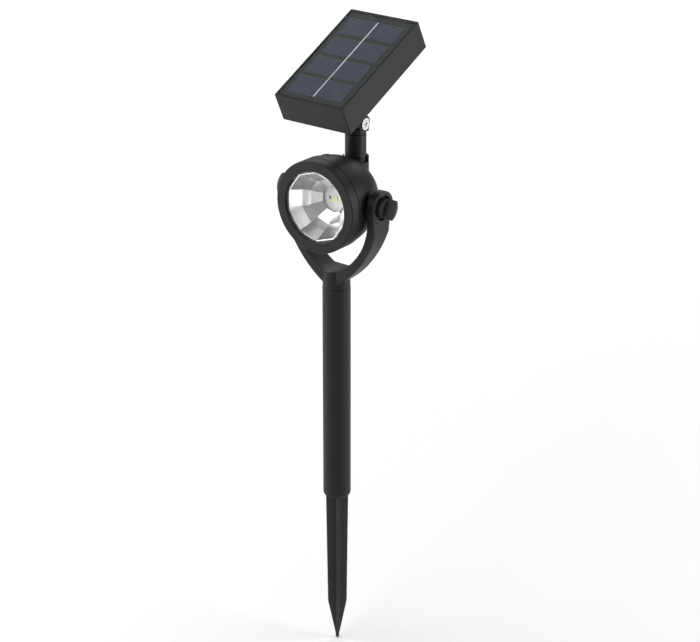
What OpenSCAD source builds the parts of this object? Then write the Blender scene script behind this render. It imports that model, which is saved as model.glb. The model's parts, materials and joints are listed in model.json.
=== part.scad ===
// Solar garden spotlight on a ground spike, in millimetres.
// The origin is on the pole's axis at the ground line, where the pole ends and the spike begins.
// +Z is up, the lamp faces -Y, and +X is on the right-hand side of a person who faces the lamp.

/* [Spike and pole] */
// Length of the spike below the ground line
spike_len = 120; // [90:1:160]
// Length of the tapered point at the spike's end
point_len = 31; // [20:1:45]
// Reach of the four fins from the axis at the ground line
fin_reach = 8.1; // [7.4:0.1:8.4]
// Thickness of a fin
fin_t = 2.6; // [2:0.1:3.4]
// Outside diameter of the pole
pole_d = 20; // [20:0.5:22]
// Wall of the pole
pole_wall = 2; // [1.6:0.1:2.4]
// Height of the pole's upper end
pole_top = 162.5; // [150:0.5:163]

/* [Yoke] */
// Depth of the fork's band at its root
yoke_depth = 16; // [14:0.5:18]
// Height of the pivot axis
pivot_z = 229; // [229:0.1:229.4]
// Distance of an ear's outer face from the middle plane
ear_x = 40.3; // [40:0.1:41]
// Thickness of an ear
ear_t = 5.8; // [5.4:0.1:6]
// Diameter of an ear
ear_d = 23.6; // [23:0.1:25]

/* [Lamp head] */
// Height of the lamp's optical axis
lamp_z = 227.5; // [227:0.1:228]
// Outside diameter of the front bezel
bezel_d = 65.8; // [65:0.1:66]
// Diameter of the light opening
opening_d = 50.8; // [50:0.1:52]
// Distance of the bezel's front face from the pivot axis
front_reach = 24.7; // [24:0.1:25]
// Distance of the housing's rear face from the pivot axis
rear_reach = 22.2; // [22:0.1:23]
// Wall of the housing
shell_t = 2.2; // [2:0.1:2.4]
// Number of facets round the reflector
facets = 10; // [8:1:12]

/* [Riser tube] */
// Distance of the riser tube's axis behind the pivot axis
riser_y = 22; // [22:0.1:22.4]
// Outside diameter of the riser tube
riser_d = 15; // [14.6:0.1:15]
// Height of the riser tube's upper rim
riser_top = 269.4; // [269:0.1:270]
// Height of the socket's rim
socket_top = 253; // [252:0.1:254]

/* [Panel] */
// Width of the panel case
case_w = 58; // [56:0.2:60]
// Length of the panel case
case_l = 95.6; // [94:0.2:97]
// Thickness of the panel case
case_t = 22; // [22:0.1:23]
// Slope of the panel at rest, in degrees
panel_slope = 25.8; // [20:0.1:30]
// Height of the panel hinge's axis
hinge_z = 276.7; // [276.5:0.1:277]
// Distance of the panel hinge's axis behind the pivot axis
hinge_y = 23.2; // [22.6:0.1:23.4]
// Gap between the hinge's axis and the underside of the case
hinge_drop = 26.3; // [25:0.1:28]
// Number of solar cells along the panel
cell_rows = 4; // [3:1:5]
// Turn of the knobs' grips, in degrees
grip_turn = 25; // [-45:1:45]

/* [Hidden] */
$fn = 64;

// colours
black_plastic = "#2e2e30";
soft_black = "#242426";
steel = "#b8babd";
brass = "#b99a52";

// fits
slip = 0.05;      // gap of a part that is pressed or glued in its seat
running = 0.08;   // radial gap of a part that turns in its seat
free_gap = 0.35;  // gap of a part that passes another

// pole and spike
pole_r = pole_d / 2;
pole_bore_r = pole_r - pole_wall;
pole_foot_r = pole_bore_r + 0.6;
plug_len = 24;
fin_reach_low = fin_reach - 1.2;
tip_half = 0.6;

// yoke: two arcs outside, two arcs inside and a round floor between them
outer_arc = [37.2, 234.8, 80.7];  // offset of the centre, its height, radius
inner_arc = [19.1, 223.4, 53.2];
floor_r = 17.8;
stem_r = pole_r - 0.2;
floor_z = inner_arc[1] - sqrt(pow(inner_arc[2] - floor_r, 2) - pow(inner_arc[0], 2));
tangent = inner_arc[2] / (inner_arc[2] - floor_r);
floor_join_z = inner_arc[1] - (inner_arc[1] - floor_z) * tangent;
arm_x = ear_x - 0.5;
arm_flare = 1.4;
ear_r = ear_d / 2;
recess_r = 8.85;
recess_floor = ear_x - 3;
stud_r = 2.5;

// lamp head
bezel_r = bezel_d / 2;
opening_r = opening_d / 2;
front_y = -front_reach;
seam_y = -16;
collar_y = -8.6;
lens_y = front_y + 0.8;
lens_t = 1.2;
lens_back = lens_y + lens_t;
lens_r = 30;
spigot_front = lens_back + 0.6;
seat_r = lens_r + 0.2;
spigot_r = 31;
spigot_in_r = 28.3;
spigot_step_y = -16.6;
reflector_seat_r = 27;
seal_y = -19.2;
seal_w = 1.4;
body_r = bezel_r - 0.7;
shoulder_r = 43.8;
shoulder_y = -8.5;
corner_r = 8;
corner_y = rear_reach - corner_r;
corner_c = body_r - shoulder_r
    + sqrt(pow(shoulder_r - corner_r, 2) - pow(corner_y - shoulder_y, 2));
corner_a = atan2(corner_c - body_r + shoulder_r, corner_y - shoulder_y);
boss_r = 8.6;
boss_face = 33.9;
insert_r = 3.5;
insert_x = [26, 33.5];
post_r = 2.6;
post_offset = 13;
board_y = -1;
board_t = 1.6;
board_r = 15.4;
chip_w = 4.2;
reflector_t = 0.9;
// circumscribed radius and place along Y of each edge ring of the reflector
tiers = [[24.4, lens_back + 0.1], [20.1, -13.8], [16.3, -8.8], [9.4, -3.4]];

// power switch, on a radius of the housing
switch_turn = -11;
switch_y = -4.6;
button_r = 3.25;
button_top = bezel_r - 0.4;
switch_seat = 28.4;

// riser
riser_r = riser_d / 2;
riser_bore_r = 6.4;
riser_low_bore_r = 5.4;
riser_foot = 238.5;
socket_r = 9.3;
socket_mouth_r = 8.4;
socket_foot = 236;
stop_z = 244.5;
stop_r = 1.15;
groove_h = 2.8;
groove_r = 6.4;
swivel_half = 90;

// hinge between the riser and the panel
lug_r = 5.9;
lug_x = 7.1;
lug_t = 3.6;
neck_r = 6.8;
neck_top = riser_top + 3.2;
tongue_x = 3.2;
tongue_r = 5.4;
screw_r = 2;
screw_head_r = 4.25;
nut_af = 7;

// panel, in the hinge's own frame: Y runs up the slope and Z points out of the glass
case_y = 10.8;
case_low = hinge_drop;
case_high = hinge_drop + case_t;
case_wall = 2;
case_corner = 0.9;
rim_x = 1.8;
rim_y = 2.6;
recess_t = 1.5;
deck_t = 1.8;
deck_z = case_high - recess_t - deck_t;
module_w = case_w - 2 * rim_x - 0.4;
module_l = case_l - 2 * rim_y - 0.4;
sheet_t = 0.8;
cell_t = 0.25;
sheet_z = case_high - recess_t;
cell_z = sheet_z + sheet_t;
window_t = 0.4;
cell_w = 46;
cell_pitch = 84 / cell_rows;
cell_l = cell_pitch - 3.5;
cells_shift = -0.8;
cover_t = 2;
cover_w = case_w - 2 * case_wall - 0.2;
cover_l = case_l - 2 * case_wall - 0.2;
battery_r = 7.1;
battery_l = 49;
battery_x = -12;
battery_z = case_low + cover_t + 1.4 + battery_r;
board_x = 12;
board_w = 20;
lead_y = 17;
channel_r = 1.45;
channel_y = 4.4;
control_z = case_low + cover_t + 3;
wire_r = 0.7;

// points of an arc about [cx, cy], from angle a0 to a1
function arc(cx, cy, r, a0, a1, n) =
    [for (i = [0:n]) let (a = a0 + (a1 - a0) * i / n) [cx + r * cos(a), cy + r * sin(a)]];

// lathe profile of the lamp body, as [radius, y], with its wall taken off by inset
function body_outline(inset) = concat(
    [for (p = arc(shoulder_y, body_r - shoulder_r, shoulder_r - inset, 90, corner_a, 12)) [p[1], p[0]]],
    [for (p = arc(corner_y, corner_c, corner_r - inset, corner_a, 0, 8)) [p[1], p[0]]],
    [[0, rear_reach - inset]]);

// puts a lathe's axis on the lamp's optical axis, so that its Z becomes the object's Y
module on_lamp_axis() {
    translate([0, 0, lamp_z]) rotate([-90, 0, 0]) children();
}

// puts a part's Z along the object's X, on the pivot axis
module on_pivot() {
    translate([0, 0, pivot_z]) rotate([0, 90, 0]) children();
}

// puts a part's Z on the radius of the housing that holds the switch
module on_switch() {
    translate([0, switch_y, lamp_z]) rotate([0, switch_turn, 0]) children();
}

// radius of the small dimple that shows how far the bezel is screwed on
module on_key_mark() {
    translate([0, (seam_y + collar_y) / 2 + 1, lamp_z]) rotate([0, 56, 0]) children();
}

module on_riser() {
    translate([0, riser_y, 0]) children();
}

// frame of the hinge, with the panel's slope
module on_panel() {
    translate([0, hinge_y, hinge_z]) rotate([panel_slope, 0, 0]) children();
}

// a ring with a flat section
module ring(r_in, r_out, z0, z1) {
    difference() {
        translate([0, 0, z0]) cylinder(r = r_out, h = z1 - z0);
        translate([0, 0, z0 - 1]) cylinder(r = r_in, h = z1 - z0 + 2);
    }
}

module rounded_rect(w, l, r) {
    square([w - 2 * r, l], center = true);
    square([w, l - 2 * r], center = true);
    for (sx = [-1, 1], sy = [-1, 1])
        translate([sx * (w / 2 - r), sy * (l / 2 - r)]) circle(r = r, $fn = 32);
}

// a rounded block of the panel, from z0 up
module slab(w, l, r, z0, h) {
    translate([0, case_y, z0]) linear_extrude(height = h) rounded_rect(w, l, r);
}

// a machine screw's head and shank, its head's face at z = 0 and the shank along -Z
module screw(head_r, head_h, r, len) {
    difference() {
        union() {
            translate([0, 0, -head_h]) cylinder(r = head_r, h = head_h);
            translate([0, 0, -len]) cylinder(r = r, h = len);
        }
        for (a = [0, 90])
            rotate([0, 0, a]) translate([-head_r * 0.55, -0.35, -head_h * 0.55])
                cube([head_r * 1.1, 0.7, head_h]);
    }
}

// ---- ground body -------------------------------------------------------------------------

module fin() {
    rotate([90, 0, 0]) linear_extrude(height = fin_t, center = true)
        polygon([
            [-fin_reach, 0], [fin_reach, 0], [fin_reach_low, point_len - spike_len],
            [tip_half, -spike_len], [-tip_half, -spike_len],
            [-fin_reach_low, point_len - spike_len]]);
}

module spike() {
    color(black_plastic) union() {
        for (a = [45, -45]) rotate([0, 0, a]) fin();
        translate([0, 0, -0.5]) cylinder(r = pole_bore_r - slip - 0.6, h = 1);
        cylinder(r = pole_bore_r - slip, h = plug_len);
    }
}

module pole() {
    color(black_plastic) rotate_extrude()
        polygon([
            [pole_bore_r, 0], [pole_foot_r, 0], [pole_r - 0.4, 0.9], [pole_r, 2.2],
            [pole_r, pole_top], [pole_bore_r, pole_top]]);
}

// region inside a mirrored pair of arcs, as seen from the front
module between_arcs(a) {
    intersection() {
        translate([-a[0], a[1]]) circle(r = a[2], $fn = 128);
        translate([a[0], a[1]]) circle(r = a[2], $fn = 128);
    }
}

module fork_gap() {
    intersection() {
        between_arcs(inner_arc);
        translate([-50, floor_join_z]) square([100, 100]);
    }
    intersection() {
        translate([0, floor_z]) circle(r = floor_r);
        translate([-50, floor_z - 50]) square([100, 50 + floor_join_z - floor_z + 0.01]);
    }
}

// side view of an arm: it widens gently up to the ear
module arm_side() {
    half = yoke_depth / 2;
    polygon([
        [-half, 150], [half, 150], [half, 190], [half + arm_flare, 213],
        [ear_r - 0.6, pivot_z - 3], [ear_r - 0.6, pivot_z], [0.6 - ear_r, pivot_z],
        [0.6 - ear_r, pivot_z - 3], [-half - arm_flare, 213], [-half, 190]]);
}

module fork_band() {
    intersection() {
        rotate([90, 0, 0]) linear_extrude(height = 2 * ear_r, center = true) difference() {
            intersection() {
                between_arcs(outer_arc);
                translate([-arm_x, 150]) square([2 * arm_x, pivot_z - 150]);
            }
            fork_gap();
        }
        rotate([90, 0, 90]) linear_extrude(height = 2 * ear_x, center = true) arm_side();
    }
}

module yoke_stem() {
    difference() {
        union() {
            translate([0, 0, pole_top]) cylinder(r = stem_r, h = floor_join_z - pole_top);
            translate([0, 0, pole_top - plug_len])
                cylinder(r = pole_bore_r - slip, h = plug_len + 1);
        }
        rotate([90, 0, 0]) linear_extrude(height = 3 * pole_r, center = true) fork_gap();
    }
}

module yoke() {
    color(black_plastic) difference() {
        union() {
            fork_band();
            yoke_stem();
            for (s = [0, 1]) mirror([s, 0, 0]) on_pivot()
                translate([0, 0, ear_x - ear_t]) cylinder(r = ear_r, h = ear_t);
        }
        for (s = [0, 1]) mirror([s, 0, 0]) on_pivot() {
            translate([0, 0, recess_floor]) cylinder(r = recess_r, h = 10);
            translate([0, 0, 20]) cylinder(r = stud_r + running, h = 30);
            translate([0, 0, 20]) cylinder(r = boss_r + 0.6, h = ear_x - ear_t - 20);
        }
    }
}

// ---- lamp head ---------------------------------------------------------------------------

module housing_shell() {
    difference() {
        on_lamp_axis() rotate_extrude() polygon(concat(
            [[0, spigot_front], [spigot_r, spigot_front], [spigot_r, seam_y], [bezel_r, seam_y],
             [bezel_r, collar_y - 0.4], [bezel_r - 0.4, collar_y], [body_r, collar_y]],
            body_outline(0)));
        on_lamp_axis() rotate_extrude() polygon(concat(
            [[0, spigot_front - 1], [spigot_in_r, spigot_front - 1], [spigot_in_r, spigot_step_y],
             [reflector_seat_r, spigot_step_y], [reflector_seat_r, spigot_step_y + 2.4],
             [body_r - shell_t, spigot_step_y + 4]],
            body_outline(shell_t)));
        on_lamp_axis() ring(spigot_r - 1, spigot_r + 1, seal_y, seal_y + seal_w);
    }
}

module riser_socket() {
    on_riser() {
        translate([0, 0, socket_foot]) cylinder(r = socket_r, h = socket_top - socket_foot);
        translate([0, 0, socket_foot]) sphere(r = socket_r);
    }
}

module socket_bores() {
    on_riser() {
        translate([0, 0, socket_foot + 2]) cylinder(r = riser_r + running, h = 30);
        translate([0, 0, socket_top - 1.5]) cylinder(r = socket_mouth_r, h = 10);
        for (s = [-1, 1]) translate([s * 8.5 - 2, -2.5, socket_top - 3.5]) cube([4, 5, 10]);
        translate([0, 0, socket_foot - 5]) cylinder(r = 5, h = 10);
        translate([0, 0, socket_foot - 2]) rotate([90, 0, 0]) cylinder(r = 2.6, h = 14);
        translate([0, 0, stop_z]) rotate([-90, 0, 0]) cylinder(r = stop_r, h = 20);
        translate([0, socket_r - 0.9, stop_z]) rotate([-90, 0, 0]) cylinder(r = 2.3, h = 20);
    }
}

module pivot_boss() {
    on_pivot() {
        translate([0, 0, 28]) cylinder(r = boss_r, h = boss_face - 28);
        translate([0, 0, 24]) cylinder(r = insert_r + 2, h = 6);
    }
}

module lamp_housing() {
    color(black_plastic) difference() {
        union() {
            housing_shell();
            riser_socket();
            for (s = [0, 1]) mirror([s, 0, 0]) pivot_boss();
            for (s = [-1, 1]) on_lamp_axis()
                translate([0, s * post_offset, board_y + board_t])
                    cylinder(r = post_r, h = rear_reach - board_y - board_t - 1);
        }
        socket_bores();
        for (s = [0, 1]) mirror([s, 0, 0]) on_pivot()
            translate([0, 0, insert_x[0]]) cylinder(r = insert_r, h = 20);
        on_switch() translate([0, 0, 20]) cylinder(r = button_r + free_gap, h = 20);
        on_key_mark() translate([0, 0, bezel_r - 0.25]) cylinder(r = 0.5, h = 2);
        for (s = [-1, 1]) on_lamp_axis()
            translate([0, s * post_offset, board_y]) cylinder(r = 0.9, h = 8);
    }
}

module bezel() {
    color(black_plastic) on_lamp_axis() rotate_extrude() polygon([
        [opening_r, front_y], [bezel_r - 0.7, front_y], [bezel_r, front_y + 0.7],
        [bezel_r, seam_y - 0.6], [bezel_r - 0.3, seam_y - 0.2], [spigot_r + 0.1, seam_y - 0.2],
        [spigot_r + 0.1, spigot_front],
        [seat_r, spigot_front], [seat_r, lens_y], [opening_r, lens_y]]);
}

module bezel_seal() {
    color(soft_black) on_lamp_axis()
        ring(spigot_r - 1, spigot_r + 0.1, seal_y, seal_y + seal_w);
}

module lens() {
    color("#dfe8ea", 0.35) on_lamp_axis() translate([0, 0, lens_y]) cylinder(r = lens_r, h = lens_t);
}

module lens_gasket() {
    color(soft_black) on_lamp_axis() ring(spigot_in_r + 0.1, lens_r, lens_back, spigot_front);
}

// pyramid-sided bowl through the tier rings, thicker by grow
module bowl(grow) {
    for (i = [0:len(tiers) - 2])
        translate([0, 0, tiers[i][1]]) rotate([0, 0, 90])
            cylinder(r1 = tiers[i][0] + grow, r2 = tiers[i + 1][0] + grow,
                h = tiers[i + 1][1] - tiers[i][1] + 0.001, $fn = facets);
}

module reflector() {
    flange_y = spigot_step_y - 0.8;
    color("#d9dadc") on_lamp_axis() difference() {
        union() {
            bowl(reflector_t);
            translate([0, 0, flange_y]) cylinder(r = spigot_in_r - slip, h = 0.8);
        }
        bowl(0);
        translate([0, 0, tiers[0][1] - 1]) rotate([0, 0, 90])
            cylinder(r = tiers[0][0], h = 1.001, $fn = facets);
        translate([0, 0, tiers[3][1] - 0.1]) rotate([0, 0, 90])
            cylinder(r = tiers[3][0], h = 1, $fn = facets);
    }
}

module led_board() {
    color("#eef0ee") on_lamp_axis() difference() {
        translate([0, 0, board_y]) cylinder(r = board_r, h = board_t);
        for (s = [-1, 1]) translate([0, s * post_offset, board_y - 1]) cylinder(r = 1.2, h = 4);
    }
}

module led_chip() {
    color("#f2eca0") translate([-chip_w / 2, board_y - 0.8, lamp_z - chip_w / 2])
        cube([chip_w, 0.8, chip_w]);
}

// the resistor that sets the lamp's current
module led_resistor() {
    color("#3a3a40") translate([-5.1, board_y - 0.5, lamp_z - 1]) cube([1.2, 0.5, 2.4]);
}

module led_board_screws() {
    color(steel) for (s = [-1, 1]) on_lamp_axis()
        translate([0, s * post_offset, board_y - 0.8]) rotate([180, 0, 0])
            screw(1.6, 0.8, 0.9, 7);
}

// wires lead from the socket's foot to the back of the lamp's board
module lamp_wires() {
    color("#8c2b2b") for (s = [-1, 1])
        translate([s * 1.1, riser_y - 1, socket_foot - 2]) rotate([90, 0, 0])
            cylinder(r = wire_r, h = riser_y - 1 - board_y - board_t, $fn = 16);
}

module switch_body() {
    color(soft_black) on_switch() difference() {
        union() {
            translate([0, 0, switch_seat - 8]) cylinder(r = 4.4, h = 8);
            for (s = [-1, 1]) translate([s * 1.8 - 0.4, -0.4, switch_seat - 11]) cube([0.8, 0.8, 4]);
        }
        translate([0, 0, switch_seat - 4]) cylinder(r = 1.8, h = 5);
    }
}

module switch_button() {
    color(soft_black) on_switch() {
        translate([0, 0, switch_seat + 1.4])
            cylinder(r = button_r, h = button_top - switch_seat - 1.4);
        translate([0, 0, switch_seat - 1.6]) cylinder(r = 1.5, h = 4);
    }
}

module pivot_inserts() {
    color(brass) for (s = [0, 1]) mirror([s, 0, 0]) on_pivot()
        ring(stud_r + running, insert_r, insert_x[0], insert_x[1]);
}

module pivot_washers() {
    color(soft_black) for (s = [0, 1]) mirror([s, 0, 0]) on_pivot()
        ring(stud_r + running, boss_r, boss_face, boss_face + 0.5);
}

// ---- knobs -------------------------------------------------------------------------------

module knob() {
    hub_foot = recess_floor + 0.7;
    hub_face = ear_x + 3;
    grip_out = 8;
    grip_l = 14;
    grip_edge_r = 13.25;
    color(black_plastic) on_pivot() difference() {
        union() {
            translate([0, 0, hub_foot]) cylinder(r = 6.75, h = hub_face - hub_foot);
            rotate([0, 0, -grip_turn]) rotate([90, 0, 0])
                linear_extrude(height = 2.8, center = true) intersection() {
                    translate([-grip_l / 2, hub_face - 0.5]) square([grip_l, grip_out + 1]);
                    translate([0, hub_face + grip_out - grip_edge_r]) circle(r = grip_edge_r);
                }
        }
        translate([0, 0, 30]) cylinder(r = stud_r + slip, h = ear_x + 1.2 - 30);
    }
}

module stud() {
    color(steel) on_pivot() translate([0, 0, 27]) cylinder(r = stud_r, h = ear_x + 1 - 27);
}

module knob_washer() {
    color(steel) on_pivot() ring(stud_r + slip, 6.6, recess_floor + 0.1, recess_floor + 0.65);
}

module right_knob() { knob(); }
module right_stud() { stud(); }
module right_knob_washer() { knob_washer(); }
module left_knob() { mirror([1, 0, 0]) knob(); }
module left_stud() { mirror([1, 0, 0]) stud(); }
module left_knob_washer() { mirror([1, 0, 0]) knob_washer(); }

// ---- riser -------------------------------------------------------------------------------

// groove round the rear of the tube that the stop screw's tip runs in
module stop_groove() {
    half = swivel_half + 12;
    reach = 2 * riser_r;
    translate([0, 0, stop_z - groove_h / 2]) linear_extrude(height = groove_h)
        difference() {
            circle(r = riser_r + 1);
            circle(r = groove_r);
            polygon(concat([[0, 0]], [for (i = [0:6])
                let (a = 90 + half + (360 - 2 * half) * i / 6) [reach * cos(a), reach * sin(a)]]));
        }
}

module riser_tube() {
    color(black_plastic) on_riser() difference() {
        translate([0, 0, riser_foot]) cylinder(r = riser_r, h = riser_top - riser_foot);
        translate([0, 0, riser_foot - 1]) cylinder(r = riser_low_bore_r, h = 40);
        translate([0, 0, riser_top - 13]) cylinder(r = riser_bore_r, h = 14);
        stop_groove();
    }
}

module riser_stop_screw() {
    color(steel) on_riser() translate([0, socket_r + 0.2, stop_z]) rotate([-90, 0, 0])
        screw(2.1, 1.1, stop_r - slip, socket_r + 0.2 - groove_r - 0.3);
}

module hinge_fork() {
    slot_z = hinge_z - lug_r - 0.3;
    color(black_plastic) difference() {
        union() {
            on_riser() translate([0, 0, riser_top - 12.5])
                cylinder(r = riser_bore_r - slip, h = 13.5);
            on_riser() translate([0, 0, riser_top]) cylinder(r = neck_r, h = neck_top - riser_top);
            translate([0, hinge_y, hinge_z]) rotate([0, 90, 0])
                cylinder(r = lug_r, h = 2 * lug_x, center = true);
            translate([-lug_x, hinge_y - 4.6, riser_top + 1.4])
                cube([2 * lug_x, 9.2, hinge_z - riser_top - 3.4]);
        }
        translate([lug_t - lug_x, hinge_y - 12, slot_z])
            cube([2 * (lug_x - lug_t), 24, 20]);
        translate([0, hinge_y, hinge_z]) rotate([0, 90, 0]) {
            cylinder(r = screw_r, h = 40, center = true);
            translate([0, 0, lug_x - 1.1]) cylinder(r = screw_head_r + 0.15, h = 5);
            translate([0, 0, -lug_x - 3]) cylinder(d = nut_af / cos(30) + 0.1, h = 5.3, $fn = 6);
        }
        on_riser() translate([0, 0, riser_top - 14]) cylinder(r = 2.4, h = 20);
    }
}

module hinge_screw() {
    color(steel) translate([lug_x + 0.9, hinge_y, hinge_z]) rotate([0, 90, 0])
        screw(screw_head_r, 2, screw_r - running, 2 * lug_x - 0.2);
}

module hinge_nut() {
    color(steel) translate([-lug_x + 0.1, hinge_y, hinge_z]) rotate([0, 90, 0]) difference() {
        cylinder(d = nut_af / cos(30), h = 2.2, $fn = 6);
        translate([0, 0, -1]) cylinder(r = screw_r - running, h = 5);
    }
}

module riser_wires() {
    color("#8c2b2b") on_riser() for (s = [-1, 1])
        translate([s * 1.1, 0, riser_foot]) cylinder(r = wire_r, h = riser_top - riser_foot, $fn = 16);
}

// ---- panel -------------------------------------------------------------------------------

module panel_case() {
    color(black_plastic) on_panel() difference() {
        slab(case_w, case_l, case_corner, case_low, case_t);
        slab(case_w - 2 * case_wall, case_l - 2 * case_wall, 1, case_low - 1, deck_z - case_low + 1);
        slab(module_w + 0.4, module_l + 0.4, 1, sheet_z, recess_t + 1);
        translate([board_x, case_y + lead_y, deck_z - 1]) cylinder(r = 2.2, h = 6);
    }
}

module panel_backsheet() {
    color("#2b2e31") on_panel() slab(module_w, module_l, 0.8, sheet_z, sheet_t);
}

module solar_cells() {
    color("#39404f") on_panel() for (i = [0:cell_rows - 1])
        translate([-cell_w / 2, case_y + cells_shift - cell_l / 2
            + (i - (cell_rows - 1) / 2) * cell_pitch, cell_z])
            cube([cell_w, cell_l, cell_t]);
}

module busbar() {
    bar_l = (cell_rows - 1) * cell_pitch + cell_l;
    color("#d5d7d9") on_panel()
        translate([-0.5, case_y + cells_shift - bar_l / 2, cell_z + cell_t])
            cube([1, bar_l, 0.08]);
}

// clear cover of the solar module, cast over the cells and the bar
module panel_window() {
    color("#c9d2d6", 0.3) on_panel()
        slab(module_w, module_l, 0.8, cell_z + cell_t + 0.08, window_t - 0.08);
}

// side view of the arm that carries the panel, with Z up from the hinge's axis
module bracket_side() {
    circle(r = tongue_r);
    polygon([
        [-tongue_r, 0], [tongue_r, 0], [tongue_r, 12], [11, hinge_drop + 0.5],
        [-11, hinge_drop + 0.5], [-tongue_r, 12]]);
}

module back_cover() {
    color(black_plastic) on_panel() difference() {
        union() {
            slab(cover_w, cover_l, 1, case_low, cover_t);
            rotate([90, 0, 90]) linear_extrude(height = 2 * tongue_x, center = true) bracket_side();
            translate([-lug_x, -6.5, 10]) cube([2 * lug_x, 13, hinge_drop - 9]);
            for (sx = [-1, 1], sy = [-1, 1])
                translate([sx * 22.6, case_y + sy * 41.4, case_low]) cylinder(r = 3.6, h = cover_t + 2);
        }
        rotate([0, 90, 0]) cylinder(r = screw_r + running, h = 40, center = true);
        for (sx = [-1, 1], sy = [-1, 1])
            translate([sx * 22.6, case_y + sy * 41.4, case_low - 1]) {
                cylinder(r = 1.3, h = 12);
                cylinder(r = 2.7, h = 2.4);
            }
        translate([0, channel_y, 11]) cylinder(r = channel_r, h = 30);
        translate([-channel_r, channel_y - channel_r, -tongue_r])
            cube([2 * channel_r, 10, 11 + tongue_r + channel_r]);
    }
}

module cover_screws() {
    color(steel) on_panel() for (sx = [-1, 1], sy = [-1, 1])
        translate([sx * 22.6, case_y + sy * 41.4, case_low + 0.1]) rotate([180, 0, 0])
            screw(2.5, 1.3, 1.25, 9);
}

module battery() {
    color("#3f6fa8") on_panel() translate([battery_x, case_y - battery_l / 2, battery_z])
        rotate([-90, 0, 0]) {
            cylinder(r = battery_r, h = battery_l - 1.2);
            cylinder(r = 2.7, h = battery_l);
        }
}

// open cradle that stands on the back cover
module battery_holder() {
    floor_top = case_low + cover_t;
    end_t = 1.6;
    length = battery_l + 6;
    color(soft_black) on_panel() difference() {
        translate([battery_x - battery_r - 1.6, case_y - length / 2, floor_top])
            cube([2 * battery_r + 3.2, length, 11]);
        translate([battery_x, case_y - length / 2 + end_t, battery_z]) rotate([-90, 0, 0])
            cylinder(r = battery_r + 0.2, h = length - 2 * end_t);
        translate([battery_x - battery_r - 0.2, case_y - length / 2 + end_t, battery_z])
            cube([2 * battery_r + 0.4, length - 2 * end_t, 20]);
    }
}

// plate with a boss at the cap end and a round spring at the other
module battery_contacts() {
    half = battery_l / 2;
    color(steel) on_panel() {
        translate([battery_x - 4, case_y + half + 0.55, battery_z - 4]) cube([8, 0.8, 8]);
        translate([battery_x, case_y + half + 0.05, battery_z]) rotate([-90, 0, 0])
            cylinder(r = 2, h = 0.6);
        for (i = [0:3])
            translate([battery_x, case_y - half - 1.35 + i * 0.31, battery_z]) rotate([-90, 0, 0])
                ring(1.4, 3.6 - i * 0.3, -0.02, 0.32);
    }
}

module control_board() {
    color("#2f6b45") on_panel() translate([board_x - board_w / 2, case_y - 20, control_z])
        cube([board_w, 40, board_t]);
}

module board_parts() {
    top = control_z + board_t;
    color("#1d1d1f") on_panel() {
        translate([board_x - 6, case_y - 12, top]) cube([4, 5, 1.4]);
        translate([board_x + 3, case_y + 4, top]) cylinder(r = 3, h = 3.4);
        translate([board_x - 5, case_y + 8, top]) cylinder(r = 2.5, h = 6);
        translate([board_x + 2, case_y - 14, top]) cube([3, 3, 1.1]);
    }
}

// leads of the solar module, of the battery and down the bracket's channel
module panel_wires() {
    holder_side = battery_x + battery_r + 1.6;
    board_side = board_x - board_w / 2;
    color("#8c2b2b") on_panel() for (s = [-1, 1]) {
        translate([board_x + s * 1.2, case_y + lead_y, control_z + board_t])
            cylinder(r = wire_r, h = sheet_z - control_z - board_t, $fn = 16);
        translate([holder_side, case_y + s * 15, control_z + board_t / 2]) rotate([0, 90, 0])
            cylinder(r = wire_r, h = board_side - holder_side, $fn = 16);
        translate([0, channel_y + s * wire_r, 1.5])
            cylinder(r = wire_r - 0.1, h = control_z - 1.5, $fn = 16);
    }
}

spike();
pole();
yoke();
lamp_housing();
bezel();
bezel_seal();
lens();
lens_gasket();
reflector();
led_board();
led_chip();
led_resistor();
led_board_screws();
lamp_wires();
switch_body();
switch_button();
pivot_inserts();
pivot_washers();
right_knob();
right_stud();
right_knob_washer();
left_knob();
left_stud();
left_knob_washer();
riser_tube();
riser_stop_screw();
hinge_fork();
hinge_screw();
hinge_nut();
riser_wires();
panel_case();
panel_backsheet();
solar_cells();
busbar();
panel_window();
back_cover();
cover_screws();
battery();
battery_holder();
battery_contacts();
control_board();
board_parts();
panel_wires();
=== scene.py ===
"""Solar garden spotlight: meshes, materials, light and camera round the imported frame."""
import json
import math

import bmesh
import bpy
from mathutils import Matrix, Vector


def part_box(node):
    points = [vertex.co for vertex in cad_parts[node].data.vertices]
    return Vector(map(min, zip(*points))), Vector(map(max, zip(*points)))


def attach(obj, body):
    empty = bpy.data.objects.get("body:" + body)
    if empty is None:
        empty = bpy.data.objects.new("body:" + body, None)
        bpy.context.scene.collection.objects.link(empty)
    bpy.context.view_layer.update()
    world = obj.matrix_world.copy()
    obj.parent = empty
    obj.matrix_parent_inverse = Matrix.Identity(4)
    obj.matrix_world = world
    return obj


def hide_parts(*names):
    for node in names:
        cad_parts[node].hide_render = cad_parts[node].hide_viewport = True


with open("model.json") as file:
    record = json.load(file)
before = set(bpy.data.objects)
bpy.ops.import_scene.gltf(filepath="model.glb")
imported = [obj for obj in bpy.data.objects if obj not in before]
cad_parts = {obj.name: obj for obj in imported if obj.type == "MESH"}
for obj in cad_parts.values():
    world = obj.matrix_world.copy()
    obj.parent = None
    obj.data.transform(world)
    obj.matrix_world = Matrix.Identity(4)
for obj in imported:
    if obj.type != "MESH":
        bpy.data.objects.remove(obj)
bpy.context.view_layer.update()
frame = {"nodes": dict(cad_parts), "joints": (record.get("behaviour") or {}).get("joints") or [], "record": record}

MM = 0.001
BODY_OF = {n: body for body, nodes in frame["record"]["behaviour"]["bodies"].items() for n in nodes}
JOINTS = {joint["name"]: joint for joint in frame["joints"]}


def spot(joint):
    """A joint's place in millimetres."""
    return Vector(JOINTS[joint]["pos_m"]) / MM


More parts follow.
